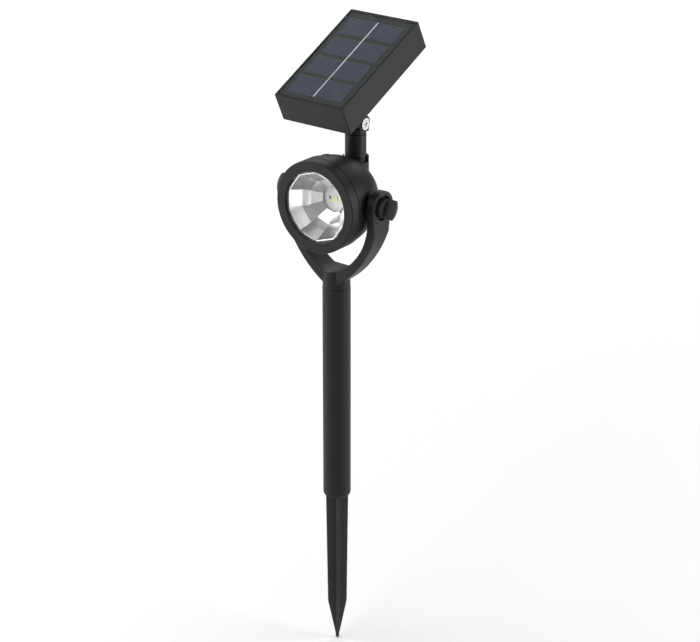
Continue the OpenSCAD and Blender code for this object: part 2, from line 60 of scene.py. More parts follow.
def box_mm(node):
    """A CAD node's lowest and highest corners in millimetres."""
    low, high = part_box(node)
    return low / MM, high / MM


# ---- places, in millimetres, from the frame ------------------------------------------------

PIVOT = spot("head_tilt")
HINGE = spot("panel_tilt")
RISER_Y = spot("riser_swivel").y
BEZEL_LOW, BEZEL_HIGH = box_mm("bezel")
LAMP_Z = (BEZEL_LOW.z + BEZEL_HIGH.z) / 2
BEZEL_R = (BEZEL_HIGH.z - BEZEL_LOW.z) / 2
PANEL_SLOPE = math.radians(25.8)

TO_LAMP = Matrix.Translation((0, 0, LAMP_Z)) @ Matrix.Rotation(math.radians(-90), 4, "X")
TO_RISER = Matrix.Translation((0, RISER_Y, 0))
TO_PANEL = Matrix.Translation(HINGE) @ Matrix.Rotation(PANEL_SLOPE, 4, "X")
TO_PIVOT = {
    1: Matrix.Translation(PIVOT) @ Matrix.Rotation(math.radians(90), 4, "Y"),
    -1: Matrix.Translation(PIVOT) @ Matrix.Rotation(math.radians(-90), 4, "Y"),
}


# ---- outlines ------------------------------------------------------------------------------

def arc(cx, cy, radius, start, end, steps):
    """Points of an arc, with its angles in degrees."""
    angles = [math.radians(start + (end - start) * i / steps) for i in range(steps + 1)]
    return [(cx + radius * math.cos(a), cy + radius * math.sin(a)) for a in angles]


def rounded(points, radius=0.0, steps=4):
    """A closed outline with rounded corners. A point's third number is its own radius."""
    out = []
    count = len(points)
    for i, point in enumerate(points):
        here = Vector(point[:2])
        want = point[2] if len(point) > 2 else radius
        before = Vector(points[i - 1][:2]) - here
        after = Vector(points[(i + 1) % count][:2]) - here
        turn = before.angle(after, 0.0)
        if want <= 0 or turn < 0.01 or turn > math.pi - 0.01:
            out.append(tuple(here))
            continue
        reach = min(want / math.tan(turn / 2), 0.48 * before.length, 0.48 * after.length)
        start = here + before.normalized() * reach
        end = here + after.normalized() * reach
        true_radius = reach * math.tan(turn / 2)
        centre = here + (before.normalized() + after.normalized()).normalized() * (
            true_radius / math.sin(turn / 2))
        for k in range(steps + 1):
            spoke = (start - centre).slerp(end - centre, k / steps).normalized()
            out.append(tuple(centre + spoke * true_radius))
    return out


def rounded_rect(width, length, radius):
    """A rounded rectangle about the origin, from its right-hand side round."""
    x, y = width / 2, length / 2
    return rounded([(x, -y), (x, y), (-x, y), (-x, -y)], radius, steps=6)


# ---- solids, all as bmesh in millimetres ---------------------------------------------------

def lathe(outline, segments=128):
    """Turns a closed outline of (radius, height) about Z."""
    bm = bmesh.new()
    rings = []
    for i in range(segments):
        a = 2 * math.pi * i / segments
        rings.append([bm.verts.new((r * math.cos(a), r * math.sin(a), z)) for r, z in outline])
    count = len(outline)
    for i in range(segments):
        one, two = rings[i], rings[(i + 1) % segments]
        for k in range(count):
            n = (k + 1) % count
            if outline[k][0] > 1e-6 or outline[n][0] > 1e-6:
                bm.faces.new((one[k], two[k], two[n], one[n]))
    return cleaned(bm)


def cleaned(bm):
    """Welds doubled points, drops slivers and turns the faces outwards."""
    bmesh.ops.remove_doubles(bm, verts=bm.verts, dist=1e-4)
    bmesh.ops.dissolve_degenerate(bm, edges=bm.edges, dist=1e-5)
    bmesh.ops.recalc_face_normals(bm, faces=bm.faces)
    return bm


def loft(loops, closed_ring=False):
    """Skins loops of 3-D points with equal counts; the ends are capped unless it is a ring."""
    bm = bmesh.new()
    rows = [[bm.verts.new(p) for p in loop] for loop in loops]
    count = len(rows[0])
    pairs = list(zip(rows, rows[1:]))
    if closed_ring:
        pairs.append((rows[-1], rows[0]))
    for one, two in pairs:
        for k in range(count):
            n = (k + 1) % count
            bm.faces.new((one[k], one[n], two[n], two[k]))
    if not closed_ring:
        bm.faces.new(rows[0])
        bm.faces.new(rows[-1])
    return cleaned(bm)


def prism(outline, low, high, edge=0.0, steps=3):
    """An outline stood up along Z, with its top and bottom edges rounded."""
    bm = loft([[(x, y, low) for x, y in outline], [(x, y, high) for x, y in outline]])
    if edge > 0:
        rims = [e for e in bm.edges if abs(e.verts[0].co.z - e.verts[1].co.z) < 1e-6]
        bmesh.ops.bevel(bm, geom=rims, offset=edge, segments=steps, profile=0.5,
                        affect="EDGES", clamp_overlap=True)
    return cleaned(bm)


def rod(radius, low, high, edge=0.0, segments=64):
    """A round bar along Z."""
    return lathe(rounded([(0, low, 0), (radius, low), (radius, high), (0, high, 0)], edge), segments)


def tube(inner, outer, low, high, edge=0.0, segments=64):
    """A round pipe along Z."""
    return lathe(rounded([(inner, low), (outer, low), (outer, high), (inner, high)], edge), segments)


def block(low, high, edge=0.0, steps=3):
    """A box between two corners with all its edges rounded."""
    bm = bmesh.new()
    bmesh.ops.create_cube(bm, size=1.0)
    size = Vector(high) - Vector(low)
    middle = (Vector(high) + Vector(low)) / 2
    bm.transform(Matrix.Translation(middle) @ Matrix.Diagonal((*size, 1)))
    if edge > 0:
        bmesh.ops.bevel(bm, geom=bm.edges[:], offset=edge, segments=steps, profile=0.5,
                        affect="EDGES", clamp_overlap=True)
    return bm


def placed(bm, matrix):
    """Moves a solid to its place and gives it back."""
    bm.transform(matrix)
    return bm


def merged(*parts):
    """Several separate solids in one bmesh."""
    base = parts[0]
    for part in parts[1:]:
        mesh = bpy.data.meshes.new("part")
        part.to_mesh(mesh)
        part.free()
        base.from_mesh(mesh)
        bpy.data.meshes.remove(mesh)
    return base


def boolean(base, operation, *tools):
    """UNION or DIFFERENCE of solids, with Blender's exact solver."""
    holder = as_object("base", base)
    for tool in tools:
        other = as_object("tool", tool)
        modifier = holder.modifiers.new("cut", "BOOLEAN")
        modifier.operation = operation
        modifier.solver = "EXACT"
        modifier.object = other
        shape = bpy.data.meshes.new_from_object(
            holder.evaluated_get(bpy.context.evaluated_depsgraph_get()))
        holder.modifiers.clear()
        old = holder.data
        holder.data = shape
        bpy.data.meshes.remove(old)
        drop(other)
    bm = bmesh.new()
    bm.from_mesh(holder.data)
    drop(holder)
    bmesh.ops.remove_doubles(bm, verts=bm.verts, dist=1e-4)
    return bm


def as_object(name, bm):
    """An object that takes over the bmesh."""
    mesh = bpy.data.meshes.new(name)
    bm.to_mesh(mesh)
    bm.free()
    obj = bpy.data.objects.new(name, mesh)
    bpy.context.scene.collection.objects.link(obj)
    return obj


def drop(obj):
    """Removes a helper object with its mesh."""
    mesh = obj.data
    bpy.data.objects.remove(obj)
    bpy.data.meshes.remove(mesh)


def finer(node, edge):
    """A copy of a CAD node in millimetres with its corners rounded."""
    sharp, flat = math.radians(28), math.radians(1)
    bm = bmesh.new()
    bm.from_mesh(frame["nodes"][node].data)
    bm.transform(Matrix.Scale(1 / MM, 4))
    bmesh.ops.remove_doubles(bm, verts=bm.verts, dist=2e-3)
    bmesh.ops.dissolve_limit(bm, angle_limit=flat, verts=bm.verts, edges=bm.edges)
    corners = [e for e in bm.edges if e.is_manifold and e.calc_face_angle(0) > sharp]
    bmesh.ops.bevel(bm, geom=corners, offset=edge, segments=2, profile=0.5,
                    affect="EDGES", clamp_overlap=True)
    return cleaned(bm)


def piece(name, bm, material, *nodes, angle=35):
    """Makes the final object out of a bmesh in millimetres. It stands for CAD nodes of one body."""
    bm.transform(Matrix.Scale(MM, 4))
    mesh = bpy.data.meshes.new(name)
    bm.to_mesh(mesh)
    bm.free()
    mesh.polygons.foreach_set("use_smooth", [True] * len(mesh.polygons))
    mesh.set_sharp_from_angle(angle=math.radians(angle))
    obj = bpy.data.objects.new(name, mesh)
    bpy.context.scene.collection.objects.link(obj)
    mesh.materials.append(material)
    normals = obj.modifiers.new("normals", "WEIGHTED_NORMAL")
    normals.keep_sharp = True
    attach(obj, BODY_OF[nodes[0]])
    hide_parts(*nodes)
    return obj


# ---- materials -----------------------------------------------------------------------------

class Nodes:
    """A short way to build a material's node tree."""

    def __init__(self, name):
        self.material = bpy.data.materials.new(name)
        self.material.use_nodes = True
        self.tree = self.material.node_tree
        self.shader = self.tree.nodes["Principled BSDF"]
        self.output = self.tree.nodes["Material Output"]
        self.place = self.add("ShaderNodeTexCoord").outputs["Object"]

    def add(self, kind, inputs=None, **settings):
        node = self.tree.nodes.new(kind)
        for key, value in settings.items():
            setattr(node, key, value)
        for key, value in (inputs or {}).items():
            if isinstance(value, bpy.types.NodeSocket):
                self.tree.links.new(value, node.inputs[key])
            else:
                node.inputs[key].default_value = value
        return node

    def set(self, **values):
        for key, value in values.items():
            socket = self.shader.inputs[key.replace("_", " ")]
            if isinstance(value, bpy.types.NodeSocket):
                self.tree.links.new(value, socket)
            else:
                socket.default_value = value

    def noise(self, scale, detail, roughness=0.55):
        node = self.add("ShaderNodeTexNoise", {"Vector": self.place, "Scale": scale,
                                               "Detail": detail, "Roughness": roughness})
        return node.outputs["Fac"]

    def ramp(self, value, low, high, out_low, out_high):
        node = self.add("ShaderNodeMapRange", {"Value": value, "From Min": low, "From Max": high,
                                               "To Min": out_low, "To Max": out_high})
        return node.outputs["Result"]

    def mix(self, amount, one, two):
        node = self.add("ShaderNodeMix", data_type="RGBA")
        for key, value in (("Factor", amount), ("A", one), ("B", two)):
            socket = next(s for s in node.inputs if s.name == key and s.enabled)
            if isinstance(value, bpy.types.NodeSocket):
                self.tree.links.new(value, socket)
            else:
                socket.default_value = value
        return next(s for s in node.outputs if s.enabled)

    def bump(self, height, strength, distance, normal=None):
        inputs = {"Height": height, "Strength": strength, "Distance": distance}
        if normal is not None:
            inputs["Normal"] = normal
        return self.add("ShaderNodeBump", inputs).outputs["Normal"]

    def math(self, operation, *values):
        node = self.add("ShaderNodeMath", operation=operation)
        for socket, value in zip(node.inputs, values):
            if isinstance(value, bpy.types.NodeSocket):
                self.tree.links.new(value, socket)
            else:
                socket.default_value = value
        return node.outputs["Value"]


def grey(level, tint=0.0):
    """A linear grey, slightly blue for a positive tint."""
    return (level * (1 - tint), level, level * (1 + tint), 1)


def moulded(name, level, rough, grain, edge_wear_and_highlight):
    """Injection-moulded black plastic: fine spark grain, flow variation, and edges painted lighter, partly as
    rubbed wear and partly as a painted highlight along the rims.
    """
    m = Nodes(name)
    flow = m.noise(38, detail=3)
    fine = m.noise(5200, detail=2, roughness=0.7)
    rounding = m.add("ShaderNodeBevel", {"Radius": 0.45 * MM}, samples=4).outputs["Normal"]
    geometry = m.add("ShaderNodeNewGeometry").outputs["Normal"]
    facing = m.add("ShaderNodeVectorMath", {0: rounding, 1: geometry}, operation="DOT_PRODUCT")
    edge = m.ramp(facing.outputs["Value"], 1.0, 0.9, 0.0, 1.0)
    # Edges painted lighter: partly rubbed wear, partly a painted highlight standing in for the light the rims
    # catch.
    edge_wear_and_highlight_mask = m.math("MULTIPLY", edge, m.ramp(m.noise(260, detail=6), 0.42, 0.6, 0.2, 1.0))
    body = m.mix(m.ramp(flow, 0.35, 0.65, 0.0, 1.0), grey(level * 0.88, 0.02), grey(level * 1.1, 0.02))
    colour = m.mix(m.math("MULTIPLY", edge_wear_and_highlight_mask, edge_wear_and_highlight), body, grey(level * 3.2, 0.02))
    gloss = m.math("ADD", m.ramp(flow, 0.3, 0.7, rough - 0.05, rough + 0.05),
                   m.ramp(fine, 0.3, 0.7, -0.02, 0.03))
    m.set(Base_Color=colour, Roughness=gloss, IOR=1.5, Specular_IOR_Level=0.22,
          Normal=m.bump(fine, grain, 0.02 * MM, rounding))
    return m.material


def rubber(name, level):
    """Matt rubber with a little dust."""
    m = Nodes(name)
    dust = m.noise(900, detail=5)
    m.set(Base_Color=m.mix(m.ramp(dust, 0.4, 0.7, 0, 0.5), grey(level), grey(level * 2.4)),
          Roughness=m.ramp(dust, 0.3, 0.7, 0.55, 0.75), Normal=m.bump(dust, 0.25, 0.03 * MM))
    return m.material


def metal(name, colour, rough, scratches, metallic=1.0):
    """Plated metal with fine turning marks and small colour shifts."""
    m = Nodes(name)
    marks = m.noise(2600, detail=6, roughness=0.7)
    tone = m.noise(240, detail=3)
    dark = tuple(c * 0.8 for c in colour[:3]) + (1,)
    m.set(Base_Color=m.mix(m.ramp(tone, 0.3, 0.7, 0, 1), colour, dark), Metallic=metallic,
          Roughness=m.ramp(marks, 0.3, 0.7, rough - 0.08, rough + 0.12),
          Normal=m.bump(marks, scratches, 0.01 * MM))
    return m.material


def plating():
    """Vacuum-plated reflector: bright, with a faint haze."""
    m = Nodes("reflector_plating")
    ripple = m.noise(150, detail=2)
    haze = m.noise(700, detail=5)
    m.set(Base_Color=m.mix(m.ramp(haze, 0.35, 0.7, 0, 1), grey(0.72), grey(0.69)), Metallic=1.0,
          Roughness=m.ramp(haze, 0.3, 0.7, 0.17, 0.2), Normal=m.bump(ripple, 0.01, 0.05 * MM))
    return m.material


def clear(name, tint, rough, haze, shine):
    """Thin clear plastic: mostly see-through, glossy at a slant, and faintly hazed by dust."""
    m = Nodes(name)
    m.tree.nodes.remove(m.shader)
    dust = m.noise(420, detail=6)
    gloss = m.add("ShaderNodeBsdfGlossy", {"Color": (1, 1, 1, 1),
                                           "Roughness": m.ramp(dust, 0.3, 0.7, rough, rough + 0.06)})
    through = m.add("ShaderNodeBsdfTransparent", {"Color": tint})
    film = m.add("ShaderNodeBsdfDiffuse", {"Color": grey(0.6)})
    facing = m.add("ShaderNodeLayerWeight", {"Blend": 0.5}).outputs["Facing"]
    slant = m.math("ADD", m.math("MULTIPLY", m.math("POWER", facing, 5.0), 0.9), shine)
    veil = m.add("ShaderNodeMixShader", {0: m.ramp(dust, 0.35, 0.75, haze * 0.4, haze),
                                         1: through.outputs[0], 2: film.outputs[0]})
    both = m.add("ShaderNodeMixShader", {0: slant, 1: veil.outputs[0], 2: gloss.outputs[0]})
    m.tree.links.new(both.outputs[0], m.output.inputs["Surface"])
    return m.material


def coated(name, colour, rough, speckle, shine=0.5):
    """Lacquered or laminated sheet, such as a board, a sleeve or a chip."""
    m = Nodes(name)
    mottle = m.noise(600, detail=5)
    dark = tuple(c * (1 - speckle) for c in colour[:3]) + (1,)
    m.set(Base_Color=m.mix(m.ramp(mottle, 0.35, 0.65, 0, 1), colour, dark),
          Roughness=m.ramp(mottle, 0.3, 0.7, rough, rough + 0.12), Specular_IOR_Level=shine,
          Normal=m.bump(mottle, 0.1, 0.02 * MM))
    return m.material


def stripes(m, axis, pitch, width):
    """1 on fine lines across an axis of the panel, 0 between them."""
    place = m.add("ShaderNodeMapping", {"Vector": m.place, "Location": -HINGE * MM},
                  vector_type="POINT")
    turned = m.add("ShaderNodeMapping", {"Vector": place.outputs[0], "Rotation": (-PANEL_SLOPE, 0, 0)})
    along = m.add("ShaderNodeSeparateXYZ", {"Vector": turned.outputs[0]}).outputs[axis]
    wave = m.math("FRACT", m.math("DIVIDE", along, pitch * MM))
    return m.math("LESS_THAN", wave, width / pitch)


def silicon():
    """Silicon cell: slate blue with crystal shading and fine printed fingers."""
    m = Nodes("silicon_cell")
    grains = m.add("ShaderNodeTexVoronoi", {"Vector": m.place, "Scale": 210.0}).outputs["Color"]
    tone = m.add("ShaderNodeSeparateColor", {"Color": grains}).outputs[0]
    cloud = m.noise(60, detail=3)
    blue = m.mix(tone, (0.026, 0.032, 0.06, 1), (0.038, 0.047, 0.08, 1))
    cell = m.mix(m.ramp(cloud, 0.35, 0.65, 0, 0.5), blue, (0.042, 0.047, 0.062, 1))
    finger_pitch, finger_w = 1.9, 0.45
    fingers = stripes(m, "Y", finger_pitch, finger_w)
    m.set(Base_Color=m.mix(m.math("MULTIPLY", fingers, 0.45), cell, (0.2, 0.215, 0.26, 1)),
          Roughness=0.5, Specular_IOR_Level=0.15, Metallic=m.math("MULTIPLY", fingers, 0.3),
          Normal=m.bump(fingers, 0.3, 0.02 * MM))
    return m.material


BLACK = moulded("black_plastic", 0.009, 0.46, 0.14, 0.35)
BLACK_SMOOTH = moulded("black_plastic_smooth", 0.009, 0.38, 0.08, 0.4)
# Knob plastic painted lighter than the other black plastic: a painted highlight standing in for the light on the
# hub's face.
BLACK_KNOB_PAINTED_LIT = moulded("black_plastic_knob_painted_lit", 0.032, 0.4, 0.1, 0.4)
# Spike plastic painted lighter than the other black plastic: painted light standing in for the light its
# right-hand faces catch.
BLACK_SPIKE_PAINTED_LIT = moulded("black_plastic_spike_painted_lit", 0.03, 0.38, 0.1, 0.5)
RUBBER = rubber("black_rubber", 0.012)
STEEL = metal("plated_steel", grey(0.56, 0.01), 0.3, 0.25)
BRASS = metal("brass_insert", (0.72, 0.5, 0.2, 1), 0.28, 0.2)
RIBBON = metal("tinned_ribbon", grey(0.9), 0.5, 0.2, 0.2)
PLATING = plating()
LENS_CLEAR = clear("clear_lens", (0.99, 0.995, 0.995, 1), 0.03, 0.008, 0.03)
WINDOW_CLEAR = clear("clear_window", (0.97, 0.98, 0.985, 1), 0.12, 0.012, 0.03)
WHITE_BOARD = coated("white_board", (0.82, 0.83, 0.82, 1), 0.35, 0.05)
PHOSPHOR = coated("led_phosphor", (0.86, 0.84, 0.42, 1), 0.4, 0.08)
BACKSHEET = coated("cell_backsheet", (0.03, 0.034, 0.027, 1), 0.5, 0.2, 0.15)
CELL = silicon()
BATTERY = coated("battery_wrap", (0.06, 0.2, 0.45, 1), 0.3, 0.1)
GREEN_BOARD = coated("green_board", (0.02, 0.16, 0.07, 1), 0.3, 0.15)
CHIP = coated("chip_black", grey(0.02), 0.5, 0.2)
WIRE = coated("wire_jacket", (0.35, 0.03, 0.03, 1), 0.4, 0.1)


# ---- spike and pole ------------------------------------------------------------------------

SPIKE_LOW, SPIKE_HIGH = box_mm("spike")
POLE_HIGH = box_mm("pole")[1]
POLE_R = POLE_HIGH.x
POLE_BORE = POLE_R - 2
FIN_T = 2.6
POINT_LEN = 31


def make_spike():
    reach, taper, low = 8.1, 1.2, SPIKE_LOW.z
    outline = rounded([(reach, 0.4, 0), (-reach, 0.4, 0), (-reach + taper, low + POINT_LEN),
                       (-0.6, low), (0.6, low), (reach - taper, low + POINT_LEN)], 0.4, 3)
    fins = []
    for turn in (45, -45):
        fin = prism(outline, -FIN_T / 2, FIN_T / 2, 0.45)
        stand = Matrix.Rotation(math.radians(turn), 4, "Z") @ Matrix.Rotation(math.radians(90), 4, "X")
        fins.append(placed(fin, stand))
    plug = rod(POLE_BORE - 0.05, -0.2, SPIKE_HIGH.z, 0.5)
    return piece("ground_spike", boolean(fins[0], "UNION", fins[1], plug), BLACK_SPIKE_PAINTED_LIT, "spike")


def make_pole():
    top = POLE_HIGH.z
    outline = rounded([(POLE_BORE, 0, 0.1), (POLE_BORE + 0.6, 0, 0.2), (POLE_R - 0.5, 0.7, 0.8),
                       (POLE_R, 2.2, 1.5), (POLE_R, top, 0.15), (POLE_BORE, top, 0.1)], steps=5)
    return piece("pole_tube", lathe(outline, 144), BLACK, "pole")


# ---- yoke ----------------------------------------------------------------------------------

YOKE_HIGH = box_mm("yoke")[1]
EAR_X = YOKE_HIGH.x
EAR_R = YOKE_HIGH.z - PIVOT.z
EAR_T = 5.8
RECESS_R = 8.85
RECESS_T = 3
STUD_R = 2.5
OUTER_ARC = (37.2, 234.8, 80.7)
INNER_ARC = (19.1, 223.4, 53.2)
FLOOR_R = 17.8


def even(points, count):
    """The same line with points at even spacing."""
    lengths = [0.0]
    for one, two in zip(points, points[1:]):
        lengths.append(lengths[-1] + math.dist(one, two))
    out = []
    k = 0
    for i in range(count + 1):
        want = lengths[-1] * i / count
        while k < len(points) - 2 and lengths[k + 1] < want:
            k += 1
        share = (want - lengths[k]) / (lengths[k + 1] - lengths[k])
        out.append(tuple(a + (b - a) * share for a, b in zip(points[k], points[k + 1])))
    return out


def arm_half_depth(z):
    """Half the fork's depth: it widens gently into the ears."""
    root, shoulder, top = 8.0, 9.4, EAR_R - 0.6
    root_z, shoulder_z, top_z = 190, 213, PIVOT.z - 3
    if z <= root_z:
        return root
    if z <= shoulder_z:
        return root + (shoulder - root) * (z - root_z) / (shoulder_z - root_z)
    return min(top, shoulder + (top - shoulder) * (z - shoulder_z) / (top_z - shoulder_z))


def fork_lines(count):
    """Outer and inner lines of the right half of the fork, from its middle up to the ear."""
    offset, height, radius = OUTER_ARC
    start = math.degrees(math.atan2(-math.sqrt(radius ** 2 - offset ** 2), offset))
    flat_x = EAR_X - 0.5
    end = math.degrees(math.atan2(-math.sqrt(radius ** 2 - (flat_x + offset) ** 2), flat_x + offset))
    outer = arc(-offset, height, radius, start, end, 60) + [(flat_x, PIVOT.z)]
    offset, height, radius = INNER_ARC
    floor_z = height - math.sqrt((radius - FLOOR_R) ** 2 - offset ** 2)
    meet = math.degrees(math.atan2(floor_z - height, offset))
    inner = arc(0, floor_z, FLOOR_R, -90, meet, 24)
    stop = -math.degrees(math.asin((height - PIVOT.z) / radius))
    inner += arc(-offset, height, radius, meet, stop, 50)[1:]
    return even(outer, count), even(inner, count)


def fork_section(outside, inside):
    """Rounded section of the fork between its outer and inner points."""
    out_p, in_p = Vector((outside[0], 0, outside[1])), Vector((inside[0], 0, inside[1]))
    across = in_p - out_p
    half = arm_half_depth(outside[1])
    width = across.length
    outline = rounded([(0, -half, 0.35), (width, -half, 0.35), (width, half, 1.2), (0, half, 2.8)],
                      steps=6)
    return [out_p + across.normalized() * u + Vector((0, v, 0)) for u, v in outline]


def fork_band():
    """Both arms as one band from ear to ear."""
    outer, inner = fork_lines(56)
    right = [fork_section(o, i) for o, i in zip(outer, inner)]
    left = [[Vector((-p.x, p.y, p.z)) for p in section] for section in right[:0:-1]]
    return loft(left + right)


def make_yoke():
    offset, height, radius = INNER_ARC
    floor_z = height - math.sqrt((radius - FLOOR_R) ** 2 - offset ** 2)
    stem = rod(POLE_R - 0.2, POLE_HIGH.z, floor_z - 3, 0.15, 144)
    plug = rod(POLE_BORE - 0.05, POLE_HIGH.z - 24, POLE_HIGH.z + 1, 0.5)
    gap_wall = lathe([(0, -30), (FLOOR_R, -30), (FLOOR_R, 30), (0, 30)], 192)
    placed(gap_wall, Matrix.Translation((0, 0, floor_z)) @ Matrix.Rotation(math.radians(90), 4, "X"))
    body = boolean(stem, "DIFFERENCE", gap_wall)
    body = boolean(fork_band(), "UNION", body, plug)
    for side in (1, -1):
        ear = rod(EAR_R, EAR_X - EAR_T, EAR_X, 0.55, 144)
        body = boolean(body, "UNION", placed(ear, TO_PIVOT[side]))
    gap_x, face_r = 20, 9.2
    for side in (1, -1):
        recess = rod(RECESS_R, EAR_X - RECESS_T, EAR_X + 4, 0.2, 128)
        bore = rod(STUD_R + 0.08, gap_x, EAR_X + 5)
        spot_face = rod(face_r, gap_x, EAR_X - EAR_T, 0, 96)
        for tool in (recess, bore, spot_face):
            body = boolean(body, "DIFFERENCE", placed(tool, TO_PIVOT[side]))
    return piece("fork_yoke", body, BLACK, "yoke")


# ---- lamp head -----------------------------------------------------------------------------

FRONT_Y = BEZEL_LOW.y
SEAM_Y = -16.0
COLLAR_Y = -8.6
REAR_Y = 22.2
OPENING_R = 25.4
LENS_LOW, LENS_HIGH = box_mm("lens")
LENS_R = LENS_HIGH.x
SPIGOT_Y = LENS_HIGH.y + 0.6
SPIGOT_R = 31
SPIGOT_BORE = 28.3
BODY_R = BEZEL_R - 0.7
BOSS_R = 8.6
BOSS_FACE = 33.9
SOCKET_R = 9.3
SOCKET_FOOT = 236.0
SOCKET_TOP = 253.0
RISER_R = box_mm("riser_tube")[1].x


def make_bezel():
    back = SEAM_Y - 0.2
    outline = rounded([
        (OPENING_R, FRONT_Y, 0.4), (BEZEL_R, FRONT_Y, 0.8), (BEZEL_R, back, 0.45),
        (SPIGOT_R + 0.1, back, 0.1), (SPIGOT_R + 0.1, SPIGOT_Y, 0.1), (LENS_R + 0.2, SPIGOT_Y, 0.1),
        (LENS_R + 0.2, LENS_LOW.y, 0.1), (OPENING_R, LENS_LOW.y, 0.2)], steps=5)
    return piece("bezel_ring", placed(lathe(outline, 192), TO_LAMP), BLACK, "bezel")


def tub_outline(inset):
    """(radius, y) line of the rear shell, from the collar to the middle of its rear face."""
    shoulder, shoulder_y, corner = 43.8, -8.5, 8.0
    corner_y = REAR_Y - corner
    centre = BODY_R - shoulder + math.sqrt((shoulder - corner) ** 2 - (corner_y - shoulder_y) ** 2)
    meet = math.degrees(math.atan2(centre - BODY_R + shoulder, corner_y - shoulder_y))
    first = arc(shoulder_y, BODY_R - shoulder, shoulder - inset, 90, meet, 24)
    second = arc(corner_y, centre, corner - inset, meet, 0, 14)[1:]
    return [(r, y) for y, r in first + second] + [(0, REAR_Y - inset)]


def housing_shell():
    """Rear shell with its collar and the spigot that the bezel fits over."""
    wall, bore_end = 2.2, -12
    collar = rounded([(SPIGOT_BORE, SPIGOT_Y, 0.1), (SPIGOT_R, SPIGOT_Y, 0.2), (SPIGOT_R, SEAM_Y, 0),
                      (BEZEL_R, SEAM_Y, 0.5), (BEZEL_R, COLLAR_Y, 0.45), (BODY_R, COLLAR_Y, 0)], steps=4)
    inner = tub_outline(wall)[::-1] + [(SPIGOT_BORE, bore_end)]
    return lathe(collar + tub_outline(0) + inner, 192)


def make_housing():
    body = placed(housing_shell(), TO_LAMP)
    for side in (1, -1):
        boss = placed(rod(BOSS_R, 28, BOSS_FACE, 0.4, 96), TO_PIVOT[side])
        body = boolean(body, "UNION", boss)
    foot = [(r, SOCKET_FOOT + z) for r, z in arc(0, 0, SOCKET_R, -90, 0, 14)]
    foot[0] = (0, foot[0][1])
    wall = rounded([(SOCKET_R, SOCKET_FOOT + 1, 0), (SOCKET_R, SOCKET_TOP, 0.5), (0, SOCKET_TOP, 0)])
    socket = placed(lathe(foot + wall, 96), TO_RISER)
    body = boolean(body, "UNION", socket)
    clear_z, mouth_r = 275, 8.4
    bore = rod(RISER_R + 0.08, SOCKET_FOOT + 2, clear_z, 0, 96)
    mouth = rod(mouth_r, SOCKET_TOP - 1.5, clear_z, 0, 96)
    for cut in (bore, mouth):
        body = boolean(body, "DIFFERENCE", placed(cut, TO_RISER))
    slot_x, slot_half, slot_depth = 8.5, 2.5, 3.5
    for side in (1, -1):
        slot = block((side * slot_x - 2, -slot_half, SOCKET_TOP - slot_depth),
                     (side * slot_x + 2, slot_half, SOCKET_TOP + 8), 0.2)
        body = boolean(body, "DIFFERENCE", placed(slot, TO_RISER))
    well_r, mark_r, mark_depth = 3.6, 0.5, 0.15
    well = placed(rod(well_r, 20, 40, 0, 64), switch_frame())
    mark_y = (SEAM_Y + COLLAR_Y) / 2 + 1
    mark_turn = Matrix.Rotation(math.radians(56), 4, "Y")
    mark = rod(mark_r, BEZEL_R - mark_depth, BEZEL_R + 2, 0.1, 32)
    placed(mark, Matrix.Translation((0, mark_y, LAMP_Z)) @ mark_turn)
    return piece("rear_shell", boolean(body, "DIFFERENCE", well, mark), BLACK, "lamp_housing")


def switch_frame():
    """Z runs out of the housing along the button's travel."""
    travel = -Vector(JOINTS["switch_press"]["axis"])
    low, high = box_mm("switch_button")
    middle_y = (low.y + high.y) / 2
    turn = Vector((0, 0, 1)).rotation_difference(travel).to_matrix().to_4x4()
    return Matrix.Translation((0, middle_y, LAMP_Z)) @ turn


def make_button():
    """Slightly domed cap with a thinner plunger under it."""
    top, shoulder, foot = BEZEL_R - 0.4, 29.8, 26.8
    cap_r, plunger_r, dome = 3.25, 1.5, 0.35
    crown = [(r, top - dome * (r / cap_r) ** 2) for r in (2.6, 2.0, 1.3, 0.6)]
    outline = rounded([(cap_r, shoulder, 0.1), (cap_r, top - 0.4, 0.4)] + crown
                      + [(0, top, 0), (0, foot, 0), (plunger_r, foot, 0.2), (plunger_r, shoulder, 0)],
                      steps=4)
    return piece("push_button", placed(lathe(outline, 64), switch_frame()), RUBBER, "switch_button")


def make_lens():
    outline = rounded([(0, LENS_LOW.y, 0), (LENS_R, LENS_LOW.y, 0.3), (LENS_R, LENS_HIGH.y, 0.3),
                       (0, LENS_HIGH.y, 0)], steps=3)
    return piece("front_lens", placed(lathe(outline, 160), TO_LAMP), LENS_CLEAR, "lens")


FACETS = 10
TIERS = ((24.4, LENS_HIGH.y + 0.1), (20.1, -13.8), (16.3, -8.8), (9.4, -3.4))


def make_reflector():
    """Ten-sided bowl in three tiers, with its wall and a round flange."""
    wall = 0.9
    corners = [math.radians(90 + 360 * k / FACETS) for k in range(FACETS)]

    def ring(radius, y):
        return [(radius * math.cos(a), radius * math.sin(a), y) for a in corners]

    inside = [ring(r, y) for r, y in TIERS]
    outside = [ring(r + wall, y) for r, y in TIERS[::-1]]
    bowl = loft(inside + outside, closed_ring=True)
    rims = [e for e in bowl.edges if max(v.co.z for v in e.verts) < TIERS[0][1] + 0.01]
    bmesh.ops.bevel(bowl, geom=rims, offset=0.2, segments=2, profile=0.5, affect="EDGES")
    flange_in, flange_out, flange_front, flange_back = 21.6, 28.25, -17.4, -16.6
    flange = tube(flange_in, flange_out, flange_front, flange_back, 0.1, 128)
    return piece("faceted_reflector", placed(merged(bowl, flange), TO_LAMP), PLATING, "reflector",
                 angle=8)


